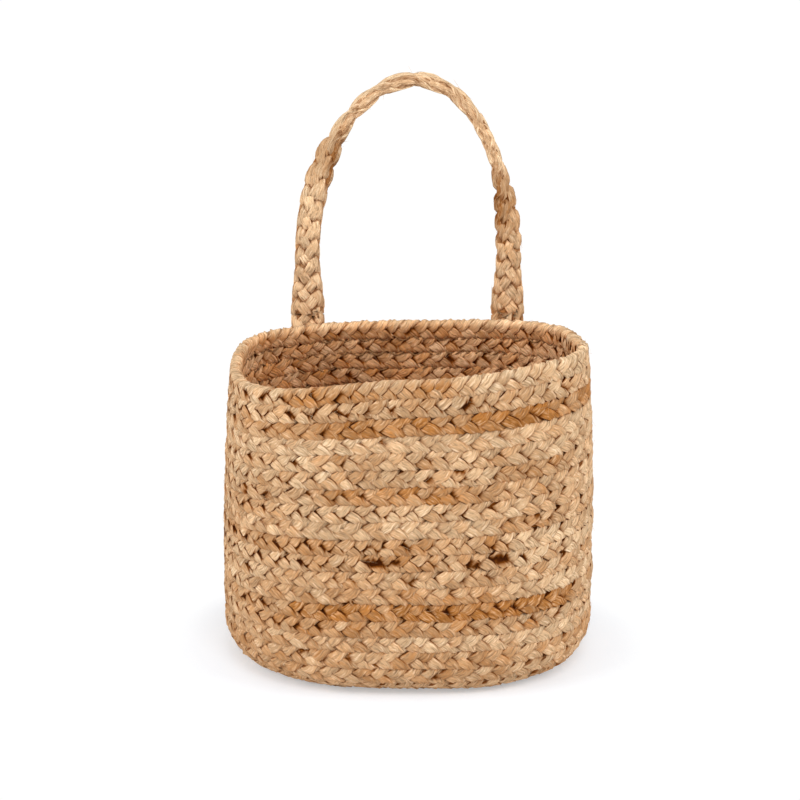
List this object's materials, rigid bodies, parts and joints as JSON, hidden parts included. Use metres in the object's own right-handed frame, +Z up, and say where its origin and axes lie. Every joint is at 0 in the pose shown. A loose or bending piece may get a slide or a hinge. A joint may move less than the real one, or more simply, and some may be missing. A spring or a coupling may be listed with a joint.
{
  "type": "wall basket",
  "caption": "Small oval basket coiled from a flat jute braid, with a braided hanging loop sewn behind the back rim.",
  "frame": {"origin": "on the ground at the middle of the oval floor", "axes": "+Z up, the front looks along -Y, the hanging loop stands at the back (+Y), +X to the right seen from the front"},
  "size_m": [0.203, 0.1595, 0.3057],
  "materials": {
    "jute_braid": "matt natural jute braid",
    "loop_braid": "matt natural jute braid",
    "sewing_thread": "matt twisted jute thread"
  },
  "bodies": {
    "basket": {"coiled_braid": "jute_braid", "seam_thread": "sewing_thread", "loop_sewn_end_left": "loop_braid", "loop_sewn_end_right": "loop_braid", "loop_stitch_left_1": "sewing_thread", "loop_stitch_left_2": "sewing_thread", "loop_stitch_left_3": "sewing_thread", "loop_stitch_right_1": "sewing_thread", "loop_stitch_right_2": "sewing_thread", "loop_stitch_right_3": "sewing_thread"},
    "loop": {"hanging_loop": "loop_braid"}
  },
  "joints": [
    {"name": "loop_fold", "type": "hinge", "parent": "basket", "child": "loop", "pos_m": [0, 0.07049, 0.17214], "axis": [1, 0, 0], "range_deg": [-90, 80]}
  ]
}
